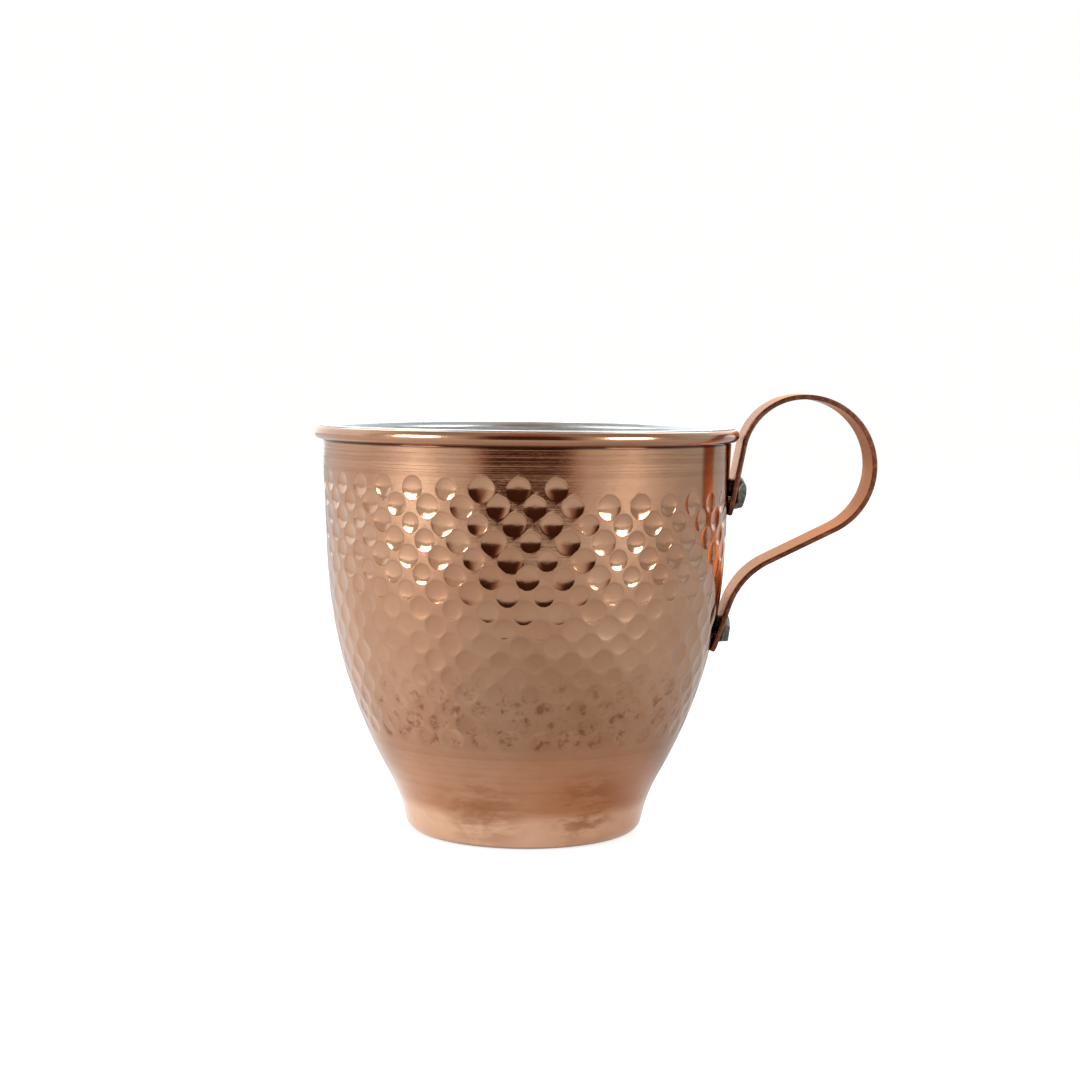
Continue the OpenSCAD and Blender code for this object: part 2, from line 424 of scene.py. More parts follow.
print(COLUMNS * ROWS, "places for a blow, from", round(point_at(WALL, pattern_foot).y / MM, 1),
      "to", round(point_at(WALL, pattern_top).y / MM, 1), "mm high")


# %% Trees, and how they are run
SOCKET_KINDS = ((int, "Int"), (float, "Float"), (bpy.types.Object, "Object"),
                (bpy.types.Material, "Material"))


def tree_of(name, build, same_point, values):
    """A Geometry Nodes tree with an input for each value. build gets these as Numbers. In
    the geometry that it returns, points no further apart than same_point become one."""
    tree = bpy.data.node_groups.new(name, "GeometryNodeTree")
    tree.interface.new_socket("Geometry", in_out="INPUT", socket_type="NodeSocketGeometry")
    tree.interface.new_socket("Geometry", in_out="OUTPUT", socket_type="NodeSocketGeometry")
    for label, value in values.items():
        kind = next(word for python_type, word in SOCKET_KINDS if isinstance(value, python_type))
        tree.interface.new_socket(label, in_out="INPUT", socket_type="NodeSocket" + kind)
    outputs = put(tree, "NodeGroupInput").outputs
    given = {label: Number(outputs[label]) for label in values}
    geometry = build(tree, given)
    for kind, settings in (
            ("GeometryNodeMergeByDistance", {"Distance": same_point}),
            ("GeometryNodeRealizeInstances", {}),
            ("GeometryNodeSetShadeSmooth", {}),
            ("GeometryNodeSetMaterial", {"Material": given["Material"]})):
        geometry = put(tree, kind, {"Geometry": geometry} | settings).outputs[0]
    put(tree, "NodeGroupOutput", {"Geometry": geometry})
    return tree


def made_by(build, name, same_point, values):
    """Builds a tree, runs it with these values, and returns its result as a plain mesh object."""
    tree = tree_of(name + "_tree", build, same_point, values)
    maker = placed(name + "_maker", bpy.data.meshes.new(name + "_maker"))
    modifier = maker.modifiers.new(tree.name, "NODES")
    modifier.node_group = tree
    for item in tree.interface.items_tree:
        if item.in_out == "INPUT" and item.name in values:
            modifier[item.identifier] = values[item.name]
    bpy.context.view_layer.update()
    finished = maker.evaluated_get(bpy.context.evaluated_depsgraph_get())
    mesh = bpy.data.meshes.new_from_object(finished)
    mesh.name = name
    piece = placed(name, mesh)
    bpy.data.objects.remove(maker)
    return piece


def guide(name, points, as_curve=False):
    """A helper object that holds points in radius and height for a tree to read."""
    if as_curve:
        data = bpy.data.curves.new(name, "CURVE")
        data.dimensions = "3D"
        spline = data.splines.new("POLY")
        spline.points.add(len(points) - 1)
        for target, point in zip(spline.points, points):
            target.co = (point.x, 0, point.y, 1)
    else:
        data = bpy.data.meshes.new(name)
        data.from_pydata([(p.x, 0, p.y) for p in points], [], [])
    return placed(name, data)


def report_mesh(piece):
    """Prints a mesh's size and whether it is closed, with its faces outwards."""
    mesh = piece.data
    mesh.calc_loop_triangles()
    uses = {}
    for polygon in mesh.polygons:
        for key in polygon.edge_keys:
            uses[key] = uses.get(key, 0) + 1
    odd = sum(1 for count in uses.values() if count != 2)
    volume = sum(
        mesh.vertices[t.vertices[0]].co.dot(
            mesh.vertices[t.vertices[1]].co.cross(mesh.vertices[t.vertices[2]].co)) / 6
        for t in mesh.loop_triangles)
    print(piece.name, len(mesh.loop_triangles), "triangles,", odd, "open edges,",
          round(volume / MM ** 3, 1), "mm3")


# %% Nodes that read, sample and move
def object_geometry(tree, given_object):
    return put(tree, "GeometryNodeObjectInfo", {"Object": given_object}).outputs["Geometry"]


def stored(tree, geometry, name, value, data_type="FLOAT"):
    node = put(tree, "GeometryNodeStoreNamedAttribute",
               {"Geometry": geometry, "Name": name, "Value": value}, data_type=data_type, domain="POINT")
    return node.outputs[0]


def read(tree, name):
    node = put(tree, "GeometryNodeInputNamedAttribute", {"Name": name}, data_type="FLOAT")
    return Number(node.outputs[0])


def read_vector(tree, name):
    node = put(tree, "GeometryNodeInputNamedAttribute", {"Name": name}, data_type="FLOAT_VECTOR")
    return node.outputs[0]


def position(tree):
    return put(tree, "GeometryNodeInputPosition").outputs[0]


def moved(tree, geometry, **where):
    """The geometry at a new Position, or shifted by an Offset."""
    return put(tree, "GeometryNodeSetPosition", {"Geometry": geometry} | where).outputs[0]


def joined(tree, parts):
    node = put(tree, "GeometryNodeJoinGeometry")
    for part in parts:
        tree.links.new(part, node.inputs[0])
    return node.outputs[0]


def point_count(tree, points):
    node = put(tree, "GeometryNodeAttributeDomainSize", {0: points})
    return Number(node.outputs["Point Count"])


def at_point(tree, points, value, index):
    """A vector value of one of the points, by its number."""
    return put(tree, "GeometryNodeSampleIndex", {"Geometry": points, "Value": value, "Index": index},
               data_type="FLOAT_VECTOR", domain="POINT").outputs[0]


def along_curve(tree, curve, distance):
    """Position and direction this far along a curve object, each as three Numbers."""
    node = put(tree, "GeometryNodeSampleCurve",
               {"Curves": object_geometry(tree, curve), "Length": distance}, mode="LENGTH")
    return parts_of(tree, node.outputs["Position"]), parts_of(tree, node.outputs["Tangent"])


# %% Places on the cup
def wandering(tree, given, column, distance):
    """How far a blow lands from its lattice point: round the cup in columns, and along the wall."""
    turn = column * (2 * pi) / given["Columns"]
    place = vector(tree, turn.math("COSINE"), turn.math("SINE"), distance * WOBBLE_STRETCH)
    wobble = put(tree, "ShaderNodeTexNoise",
                 {"Vector": place, "Scale": WOBBLE_SCALE, "Detail": 1.5})
    across, along_wall, _ = parts_of(tree, wobble.outputs["Color"])
    below_top = (given["Top Row"] - distance) / given["Row Pitch"]
    drift = below_top * given["Row Drift"]
    edge = (distance - given["Foot"]) / (given["Top"] - given["Foot"])
    inside = edge.between(0.0, 0.10) * (1 - edge.between(0.90, 1.0))
    step = given["Wander"]
    return ((across - 0.5) * step / COLUMN_STEP - drift, (along_wall - 0.5) * step * inside)


def turned(tree, given, column, radius, height):
    """The place at this column, radius and height, and the direction of its radius."""
    angle = column * (2 * pi) / given["Columns"] + given["First Blow"]
    sine, cosine = angle.math("SINE"), angle.math("COSINE")
    return vector(tree, radius * sine, radius * cosine * -1, height), sine, cosine


def on_wall(tree, given, column, distance):
    """Position and outward direction on the smooth wall for a point of the flat pattern."""
    across, along_wall = wandering(tree, given, column, distance)
    (radius, _, height), (run, _, rise) = along_curve(tree, given["Outline"], distance + along_wall)
    place, sine, cosine = turned(tree, given, column + across, radius, height)
    outward = vector(tree, rise * sine, rise * cosine * -1, run * -1)
    return place, outward


# %% The blows
def lattice(tree, given, rows, first_row):
    """Points of the flat pattern, x in columns and y along the wall, for some of its rows."""
    index = Number(put(tree, "GeometryNodeInputIndex").outputs[0])
    row = ((index + 0.5) / given["Columns"]).math("FLOOR")
    column = index - row * given["Columns"]
    level = row + first_row
    half_step = level.math("FLOORED_MODULO", 2) * 0.5
    place = vector(tree, column + half_step, given["Top Row"] - level * given["Row Pitch"])
    points = put(tree, "GeometryNodePoints", {"Count": given["Columns"] * rows, "Position": place})
    kept = stored(tree, points.outputs[0], "centre", place, "FLOAT_VECTOR")
    return kept, level


def chance(tree, low, high, seed):
    node = put(tree, "FunctionNodeRandomValue", data_type="FLOAT")
    return Number(in_use(tree, node, {"Min": low, "Max": high, "Seed": seed}))


def blows(tree, given):
    """The lattice with each blow's radius and depth, before it is laid on the cup."""
    points, level = lattice(tree, given, given["Rows"], 0.0)
    points = stored(tree, points, "level", level)
    x, y, _ = parts_of(tree, read_vector(tree, "centre"))
    bearing = x * (360.0 / COLUMNS) + given["First Blow"] * (180 / pi)
    away = (bearing - given["Gap Middle"] + (360 + 180)).math("FLOORED_MODULO", 360) - 180
    in_gap = (away.math("ABSOLUTE") < given["Gap Width"] * 0.5) * (level < 0.5)
    weight = chance(tree, 0.0, 1.0, given["Seed"])
    radius = given["Bowl Radius"] * (weight * WIDER_BY_WEIGHT + (1 - WIDER_BY_WEIGHT / 2))
    depth = given["Bowl Depth"] * chance(tree, LEAST_DEPTH, MOST_DEPTH, given["Seed"] + 7)
    depth = depth * (weight * DEEPER_BY_WEIGHT + (1 - DEEPER_BY_WEIGHT / 2))
    low_rows = (level / given["Rows"]).between(0.10, 0.48)
    depth = depth * (1 - low_rows * SHALLOWER_LOW) * (1 - in_gap)
    points = stored(tree, points, "tone", chance(tree, 0.0, 1.0, given["Seed"] + 3))
    points = stored(tree, points, "bowl", vector(tree, radius, depth), "FLOAT_VECTOR")
    return points


def laid_blows(tree, given):
    """The blows at their places on the cup."""
    points = blows(tree, given)
    x, y, _ = parts_of(tree, read_vector(tree, "centre"))
    place, _ = on_wall(tree, given, x, y)
    return moved(tree, points, Position=place)


def half_of(tree, points, odd):
    """Every second row of the blows."""
    kind = read(tree, "level").math("FLOORED_MODULO", 2)
    node = put(tree, "GeometryNodeSeparateGeometry",
               {"Geometry": points, "Selection": kind > 0.5 if odd else kind < 0.5}, domain="POINT")
    return node.outputs["Selection"]


def nearest_blow(tree, points, place):
    """Distance to the nearest of these blows, and that blow's radius and depth."""
    index = put(tree, "GeometryNodeSampleNearest",
                {"Geometry": points, "Sample Position": place}, domain="POINT").outputs[0]
    middle = at_point(tree, points, position(tree), index)
    radius, depth, _ = parts_of(tree, at_point(tree, points, read_vector(tree, "bowl"), index))
    return distance_between(tree, place, middle), radius, depth


def dent(tree, points, place):
    """Depth of the bowls at a place. Neighbours are always in rows of the other kind."""
    caps = []
    for odd in (False, True):
        apart, radius, depth = nearest_blow(tree, half_of(tree, points, odd), place)
        caps.append(depth * (1 - (apart / radius) ** CAP_POWER).math("MAXIMUM", 0))
    return caps[0].math("MAXIMUM", caps[1])


# %% Diamonds
def grid(tree, columns, rows):
    """A flat grid, with its own coordinates from 0 to 1 kept as attributes."""
    mesh = put(tree, "GeometryNodeMeshGrid",
               {"Size X": 1, "Size Y": 1, "Vertices X": columns, "Vertices Y": rows}).outputs[0]
    x, y, _ = parts_of(tree, position(tree))
    mesh = stored(tree, mesh, "round", x + 0.5)
    return stored(tree, mesh, "across", y + 0.5)


def on_points(tree, points, tile):
    node = put(tree, "GeometryNodeInstanceOnPoints", {"Points": points, "Instance": tile})
    return put(tree, "GeometryNodeRealizeInstances", {"Geometry": node.outputs[0]}).outputs[0]


def diamonds(tree, given):
    """A diamond of rings and spokes on every blow, still flat. Its last ring but two is the
    bowl's edge and the next one lies just outside, so that the edge stays crisp."""
    tile = grid(tree, 4 * SPOKES_A_SIDE + 1, RINGS + 1)
    tiles = on_points(tree, blows(tree, given), tile)
    turn, ring = read(tree, "round"), read(tree, "across")
    x, y, _ = parts_of(tree, read_vector(tree, "centre"))
    radius, _, _ = parts_of(tree, read_vector(tree, "bowl"))
    (wall_radius, _, _), _ = along_curve(tree, given["Outline"], y)
    column_width = wall_radius * (2 * pi) / given["Columns"]
    corner_x = (turn * 4 - 2).math("ABSOLUTE") - 1
    corner_y = 1 - ((turn + 0.75).math("FRACT") * 4 - 2).math("ABSOLUTE")
    edge_x, edge_y = corner_x * column_width * 0.5, corner_y * given["Row Pitch"]
    reach = (edge_x * edge_x + edge_y * edge_y).math("SQRT")
    bowl_edge = radius.math("MINIMUM", reach * EDGE_ROOM)
    lip = (bowl_edge + BOWL_LIP).math("MINIMUM", reach * LIP_ROOM)
    eased = 1 - (1 - (ring * (RINGS / (RINGS - 2))).math("MINIMUM", 1)) ** RING_CROWDING
    distance = mixed(ring > (1 - 1.5 / RINGS), bowl_edge * eased, lip)
    distance = mixed(ring > (1 - 0.5 / RINGS), distance, reach)
    place = vector(tree, x + edge_x / reach * distance / column_width, y + edge_y / reach * distance)
    return moved(tree, tiles, Position=place)


def half_diamonds(tree, given, level, upper):
    """The flat pieces that straighten the pattern's upper or lower edge."""
    tile = grid(tree, 2 * SPOKES_A_SIDE + 1, 3)
    points, _ = lattice(tree, given, 1, level)
    tiles = on_points(tree, points, tile)
    side, ring = read(tree, "round"), read(tree, "across")
    x, y, _ = parts_of(tree, read_vector(tree, "centre"))
    point = (1 - (side * 2 - 1).math("ABSOLUTE")) * given["Row Pitch"]
    rise = point * (ring - 1) if upper else point * ring
    place = vector(tree, x + side - 0.5, y + rise)
    return moved(tree, tiles, Position=place)


# %% Turned rings
def turned_zone(tree, given, profile, edge_distance, column_steps=2 * SPOKES_A_SIDE):
    """A profile of points turned round the axis, with the pattern's own columns."""
    points = object_geometry(tree, given[profile])
    count = point_count(tree, points)
    mesh = grid(tree, given["Columns"] * column_steps + 1, count)
    column = read(tree, "round") * given["Columns"]
    index = (read(tree, "across") * (count - 1)).math("ROUND")
    radius, _, height = parts_of(tree, at_point(tree, points, position(tree), index))
    across, _ = wandering(tree, given, column, given[edge_distance])
    place, _, _ = turned(tree, given, column + across, radius, height)
    return moved(tree, mesh, Position=place)


# %% The cup's geometry
def hammered_cup(tree, given):
    flat = joined(tree, (diamonds(tree, given), half_diamonds(tree, given, -1.0, True),
                         half_diamonds(tree, given, given["Rows"], False)))
    x, y, _ = parts_of(tree, position(tree))
    place, outward = on_wall(tree, given, x, y)
    laid = moved(tree, stored(tree, flat, "outward", outward, "FLOAT_VECTOR"), Position=place)
    depth = dent(tree, laid_blows(tree, given), position(tree))
    sunk = stored(tree, laid, "dent", depth)
    push = put(tree, "ShaderNodeVectorMath",
               {0: read_vector(tree, "outward"), "Scale": read(tree, "dent") * -1}, operation="SCALE")
    return joined(tree, (moved(tree, sunk, Offset=push.outputs[0]),
                         turned_zone(tree, given, "Rim Profile", "Top"),
                         turned_zone(tree, given, "Base Profile", "Foot")))


# %% [markdown]
# ## The rolled rim and the foot of the cup
# The rim is a bead: the sheet turned outwards round a wire until its edge comes back to
# the wall, with a dark crease where the two meet. Both the rim and the smooth foot were
# turned on a lathe, so here they are profiles swept round the axis.

# %% Profiles above and below the hammered wall
CREASE_DEPTH = 0.18 * MM
BASE_HOLLOW = 0.3 * MM
INNER_TURN = 0.6 * MM


def wall_between(low, high, count):
    """Points on the wall between two distances from the base's edge."""
    return [point_at(WALL, distance) for distance in spread(low, high, count)]


def round_bead(radius, first, last, count):
    """Points round the bead's centre, from the first angle to the last."""
    return [bead_centre + radius * ray(a) for a in spread(first, last, count)]


def rim_profile():
    """From the pattern's upper edge over the bead and down the inside to the axis."""
    crease_z = bead_centre.y - BEAD_RADIUS - 0.25 * MM
    crease_start = WALL_LENGTH - (bead_centre.y - crease_z) / cos(radians(WALL_TAPER))
    points = wall_between(pattern_top, crease_start - 0.09 * MM, 5) + [point_at(WALL, crease_start)]
    below_bead = point_at(WALL, crease_start + 0.06 * MM)
    points += [below_bead - Vector((0.7 * CREASE_DEPTH, 0)),
               Vector((below_bead.x - CREASE_DEPTH, bead_centre.y - BEAD_RADIUS * 0.98))]
    points += round_bead(BEAD_RADIUS, -98, 178, 17)
    inner = wall_outline(SHEET, 0.1)
    inner[-1].y = bead_centre.y - INNER_TURN
    return points + inner[::-1] + [Vector((BASE_RADIUS / 2, SHEET)), Vector((0, SHEET))]


def base_profile():
    """From the axis under the cup, over the base's edge, to the pattern's lower edge."""
    hollow_edge = BASE_RADIUS - 4.5 * MM
    under = [Vector((r, BASE_HOLLOW)) for r in spread(0, hollow_edge, 3)]
    under += [Vector((hollow_edge + step * MM, share * BASE_HOLLOW))
              for step, share in ((0.5, 0.75), (0.9, 0.2), (1.3, 0))]
    under.append(Vector((BASE_RADIUS - 1 * MM, 0)))
    corner = [corner_centre + CORNER_RADIUS * out(a) for a in spread(90, FLARE_END_LEAN, 8)]
    corner_length = CORNER_RADIUS * radians(90 - FLARE_END_LEAN)
    return under + corner + wall_between(corner_length, pattern_foot, 13)[1:]


# %% [markdown]
# ## Copper
# The wall is buffed copper that has been handled: warm pink where it is clean, browner
# in slow patches and near the foot, with fine rings from the lathe on its smooth bands.
# The colour comes from soft noise, the rings from waves in height, and the worn look
# from small changes in roughness. A metal's colour is its reflection, so the shader has
# full metallic and the tones stay close together. A thin coat gives it the sharp, pale
# gleam of polish over the softer one of worn metal.

# %% Material helpers
def attribute(tree, name):
    return Number(put(tree, "ShaderNodeAttribute", attribute_name=name).outputs["Fac"])


def cloud(tree, place, size, detail=3.0, rough=0.5, stretch=(1, 1, 1), shift=(0, 0, 0)):
    """Soft noise whose lumps are about this many metres across."""
    mapped = put(tree, "ShaderNodeMapping", {"Vector": place, "Scale": stretch, "Location": shift})
    return noise_at(tree, mapped.outputs[0], 1 / size, detail, rough)


def bump(tree, height, depth, strength=1.0, below=None):
    """A bump this deep in metres, on top of the bump below it."""
    inputs = {"Height": height, "Distance": depth, "Strength": strength}
    if below is not None:
        inputs["Normal"] = below
    return put(tree, "ShaderNodeBump", inputs).outputs[0]


# %% Cup copper
def cup_copper():
    material, tree, shader, place = new_material("cup_copper")
    x, _, height = parts_of(tree, place)
    tones = cloud(tree, place, 0.030, 4, 0.6)
    fine = cloud(tree, place, 0.0035, 5, 0.62, shift=(3, 1, 4))
    lathe = vector(tree, 0.0, 0.0, height)
    rings = noise_at(tree, lathe, 2300.0, 3.0, 0.65)
    wide_rings = noise_at(tree, lathe, 620.0, 3.0, 0.6)
    depth = attribute(tree, "dent") / BOWL_DEPTH
    tone = attribute(tree, "tone")
    in_bowl = depth.between(0.02, 0.25)
    past_foot = height.between(21 * MM, 25 * MM)
    turned_band = height.between(80.0 * MM, 83.0 * MM) + (1 - past_foot)
    turned_band = turned_band + height.between(48 * MM, 62 * MM) * (1 - in_bowl) * 0.5

    colour = Paint(tree, tones.between(0.30, 0.72), (0.62, 0.35, 0.21), (0.53, 0.265, 0.145))
    colour.over(wide_rings.between(0.46, 0.66) * turned_band * 0.40, (0.40, 0.165, 0.08))
    foot = 1 - height.between(8 * MM, 28 * MM)
    stain = cloud(tree, place, 0.020, 4, 0.6, stretch=(1, 1, 2.6), shift=(7, 2, 5)).between(0.45, 0.7)
    colour.over(foot * (0.25 + stain * 0.5), (0.46, 0.185, 0.075))

    # Some bowls are darker and some paler, and each has a faint dark line round its edge, which is
    # painted shade.
    low = 1 - height.between(28 * MM, 62 * MM)
    colour.over(in_bowl * tone.between(0.5, 1.0) * (0.10 + low * 0.15), (0.36, 0.155, 0.08))
    colour.over(in_bowl * (1 - tone.between(0.0, 0.4)) * 0.18, (0.70, 0.42, 0.28))
    # Painted shade along each bowl's edge, stronger in the upper rows.
    outline = depth.between(0.0, 0.05) * (1 - depth.between(0.12, 0.34))
    outline = outline * (height.between(50 * MM, 70 * MM) * 0.28 + 0.05)
    colour.over(outline, (0.33, 0.135, 0.07))

    # Dirt in the lowest bowls, then the foot: a painted highlight ring round its corner, painted contact
    # shade along its bottom edge, and two stains.
    dirt = cloud(tree, place, 0.0028, 4, 0.7, shift=(8, 3, 2)).between(0.48, 0.68)
    dirt = dirt * (1 - height.between(30 * MM, 44 * MM)) * past_foot
    colour.over(dirt * (in_bowl * 0.7 + 0.1), (0.27, 0.080, 0.022))
    # Painted highlight: the foot's corner is painted pale, as if it caught the light.
    foot_highlight = 1 - height.between(6 * MM, 9.5 * MM)
    colour.over(foot_highlight * 0.8, (0.90, 0.58, 0.39))
    # Painted shade: the lowest millimetre is darkened where the cup meets the table.
    colour.over((1 - height.between(0.3 * MM, 0.9 * MM)) * 0.7, (0.25, 0.09, 0.04))
    handled = foot * x.between(-8 * MM, 14 * MM) * (1 - foot_highlight * 0.6)
    colour.over(handled * 0.6, (0.45, 0.155, 0.045))
    smear = cloud(tree, place, 0.0045, 4, 0.65, stretch=(0.5, 0.5, 1.5), shift=(1, 2, 2))
    for spot, strength in (((14, -25, 10), 0.8), ((-9, -27, 9), 0.6)):
        apart = distance_between(tree, place, tuple(value * MM for value in spot))
        close = 1 - apart.between(3 * MM, 13 * MM)
        colour.over(close * smear.between(0.38, 0.62) * strength, (0.33, 0.105, 0.03))
    colour.over(fine.between(0.5, 0.8) * 0.22, (0.47, 0.24, 0.15))

    # The rim: painted shade in the crease under the bead, then the bead darker, with flecks on it.
    crease = height.between(87.1 * MM, 87.3 * MM) * (1 - height.between(87.7 * MM, 87.9 * MM))
    colour.over(crease * 0.85, (0.10, 0.035, 0.02))
    bead = height.between(87.8 * MM, 88.2 * MM)
    flecks = cloud(tree, place, 0.0019, 3, 0.7, shift=(2, 7, 5)).between(0.70, 0.74)
    colour.over(bead * (0.25 + flecks * 0.6), (0.30, 0.11, 0.055))

    scratches = cloud(tree, place, 0.0009, 3, 0.7, stretch=(1, 1, 5), shift=(1, 8, 2))
    normal = bump(tree, (rings * 0.6 + wide_rings) * turned_band, 0.03 * MM, 0.8)
    normal = bump(tree, fine * 0.7 + scratches * 0.3, 0.04 * MM, 0.5, normal)
    ripples = cloud(tree, place, 0.0060, 3, 0.5, shift=(5, 5, 3))
    normal = bump(tree, ripples * (0.35 + low), 0.22 * MM, 0.6, normal)
    rough = 0.07 + tones * 0.05 + fine.between(0.45, 0.8) * 0.06 + foot * 0.08 + bead * 0.08
    rough = rough + (1 - height.between(38 * MM, 66 * MM)) * 0.04
    join(tree, shader, Base_Color=colour.socket, Roughness=rough, Normal=normal, Metallic=1.0,
         Coat_Weight=0.45, Coat_Roughness=0.10, Coat_IOR=1.45)
    return material


# %% Make the cup
outline_guide = guide("outline_guide", WALL, as_curve=True)
rim_guide = guide("rim_guide", rim_profile())
base_guide = guide("base_guide", base_profile())
pattern = {
    "Outline": outline_guide, "Columns": COLUMNS, "Rows": ROWS, "Top Row": TOP_ROW,
    "Row Pitch": ROW_PITCH, "Row Drift": 0.05, "Wander": 1.1 * MM, "First Blow": FIRST_BLOW,
    "Bowl Radius": BOWL_RADIUS, "Bowl Depth": BOWL_DEPTH, "Gap Middle": 46.0, "Gap Width": 64.0,
    "Top": pattern_top, "Foot": pattern_foot, "Seed": 11,
}
cup = made_by(hammered_cup, "hammered_cup", 0.012 * MM, pattern | {
    "Rim Profile": rim_guide, "Base Profile": base_guide, "Material": cup_copper()})
report_mesh(cup)

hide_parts("cup_shell")
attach(cup, "root")

# %% [markdown]
# ## The tin inside
# Copper is lined with tin, wiped on hot, so the inside is silvery, a little cloudy, and
# streaked round the wall. The tin runs over the rim's crest and thins out there. The
# lining is one closed profile turned round the axis, and the tree looks up the same
# blows, because each bowl outside shows as a low swelling inside.

# %% The lining's profile
HIDDEN_GAP = 0.02 * MM
SWELLING = 0.17 * MM
SWELLING_REACH = 2.5 * MM


def lining_profile():
    """The hidden side up to the crest, then the shown side down to the axis."""
    hidden = [Vector((0, SHEET + HIDDEN_GAP))] + wall_outline(SHEET + HIDDEN_GAP, 0.1)
    hidden[-1].y -= INNER_TURN
    hidden += round_bead(BEAD_RADIUS + HIDDEN_GAP, 176, 72, 8)
    thin_edge = [bead_centre + (BEAD_RADIUS + TIN * share) * ray(a)
                 for share, a in ((0.35, 73), (0.7, 77), (0.92, 82))]
    shown_wall = wall_outline(SHEET + TIN, 0.8)
    shown_wall[-1].y -= 0.55 * MM
    shown = thin_edge + round_bead(BEAD_RADIUS + TIN, 88, 172, 12) + shown_wall[::-1]
    floor = [Vector((r, SHEET + TIN)) for r in spread(BASE_RADIUS, 0, 8)][1:]
    return hidden, shown + floor


def wiped_lining(tree, given):
    mesh = turned_zone(tree, given, "Lining Profile", "Top", 8)
    here = position(tree)
    points = laid_blows(tree, given)
    lumps = []
    for odd in (False, True):
        apart, _, depth = nearest_blow(tree, half_of(tree, points, odd), here)
        beside = (apart * apart - (SHEET + TIN) ** 2).math("MAXIMUM", 0) / SWELLING_REACH ** 2
        lumps.append((beside * -1).math("EXPONENT") * depth / given["Bowl Depth"])
    x, y, _ = parts_of(tree, here)
    across = (x * x + y * y).math("SQRT").math("MAXIMUM", 1 * MM)
    shown = read(tree, "across") > (given["Hidden Points"] - 0.5) / (given["Profile Points"] - 1)
    push = (lumps[0] + lumps[1]) * shown * -SWELLING / across
    return moved(tree, mesh, Offset=vector(tree, x * push, y * push, 0.0))


# %% Tin
def wiped_tin():
    material, tree, shader, place = new_material("wiped_tin")
    _, _, height = parts_of(tree, place)
    streaks = cloud(tree, place, 0.011, 5, 0.65, stretch=(1, 1, 7))
    smears = cloud(tree, place, 0.018, 4, 0.6, shift=(4, 9, 1))
    specks = cloud(tree, place, 0.0016, 3, 0.6, shift=(2, 2, 8)).between(0.62, 0.78)
    colour = Paint(tree, streaks.between(0.35, 0.7), (0.80, 0.80, 0.785), (0.66, 0.66, 0.65))
    colour.over(smears.between(0.52, 0.72) * 0.6, (0.36, 0.355, 0.345))
    low = 1 - height.between(3 * MM, 30 * MM)
    colour.over(low * smears * 0.7, (0.50, 0.46, 0.40))
    colour.over(specks * 0.5, (0.35, 0.34, 0.33))
    # Painted highlight: the tin along the rim's crest is painted paler.
    edge = height.between(90.2 * MM, 90.9 * MM)
    colour.over(edge * 0.5, (0.88, 0.87, 0.85))
    brush = cloud(tree, place, 0.0011, 3, 0.7, stretch=(1, 1, 6), shift=(6, 1, 1))
    normal = bump(tree, streaks * 0.6 + brush * 0.4, 0.08 * MM, 0.7)
    rough = 0.24 + streaks * 0.12 + smears.between(0.5, 0.75) * 0.12
    join(tree, shader, Base_Color=colour.socket, Roughness=rough, Normal=normal, Metallic=1.0)
    return material


# %% Make the lining
hidden_points, shown_points = lining_profile()
lining_guide = guide("lining_guide", hidden_points + shown_points)
lining = made_by(wiped_lining, "tin_lining_wiped", 0.004 * MM, pattern | {
    "Lining Profile": lining_guide, "Hidden Points": len(hidden_points),
    "Profile Points": len(hidden_points + shown_points), "Material": wiped_tin()})
report_mesh(lining)
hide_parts("tin_lining")
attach(lining, "root")

# %% [markdown]
# ## The handle
# The handle is one strap of copper, sawn from thicker sheet and bent round a stake. Its
# route is a chain like the wall's: a straight foot, a shoulder, the loop, a straight
# run, the sweep, and the lower foot. A tree carries a rounded section along the route
# and draws it in at both ends, so each tip gets its rounded corners. The strap was heated
# to bend the loop, so it is browner, rougher and less metallic there.

# %% The strap's route
STRAP_WIDTH = STRAP_HIGH.y - STRAP_LOW.y
STRAP_THICK = 1.1 * MM
TIP_CORNER = 3 * MM
FOOT_BED = 0.35 * MM
RIM_GAP = 0.5 * MM
UPPER_TIP_DROP, LOWER_TIP_DROP = 19.5 * MM, 50 * MM
UPPER_FOOT, LOWER_FOOT = 15.8 * MM, 11.3 * MM
SHOULDER_RADIUS, SHOULDER_TURN = 13.6 * MM, 73.6
LOOP_RADIUS, SWEEP_RADIUS = 15.5 * MM, 17 * MM
LOWER_SPLAY = 5


def wall_lean(z):
    return WALL_TAPER if z > belly_top_z else degrees(asin((belly_centre.y - z) / BELLY_RADIUS))


def wall_x(z):
    if z > belly_top_z:
        return wall_top.x - (wall_top.y - z) * tan(radians(WALL_TAPER))
    return belly_centre.x + sqrt(BELLY_RADIUS ** 2 - (belly_centre.y - z) ** 2)


def foot_tip(drop):
    """The inner edge of a tip, this far below the rim's top."""
    z = LINING_HIGH.z - drop
    return Vector((wall_x(z) - FOOT_BED, z))


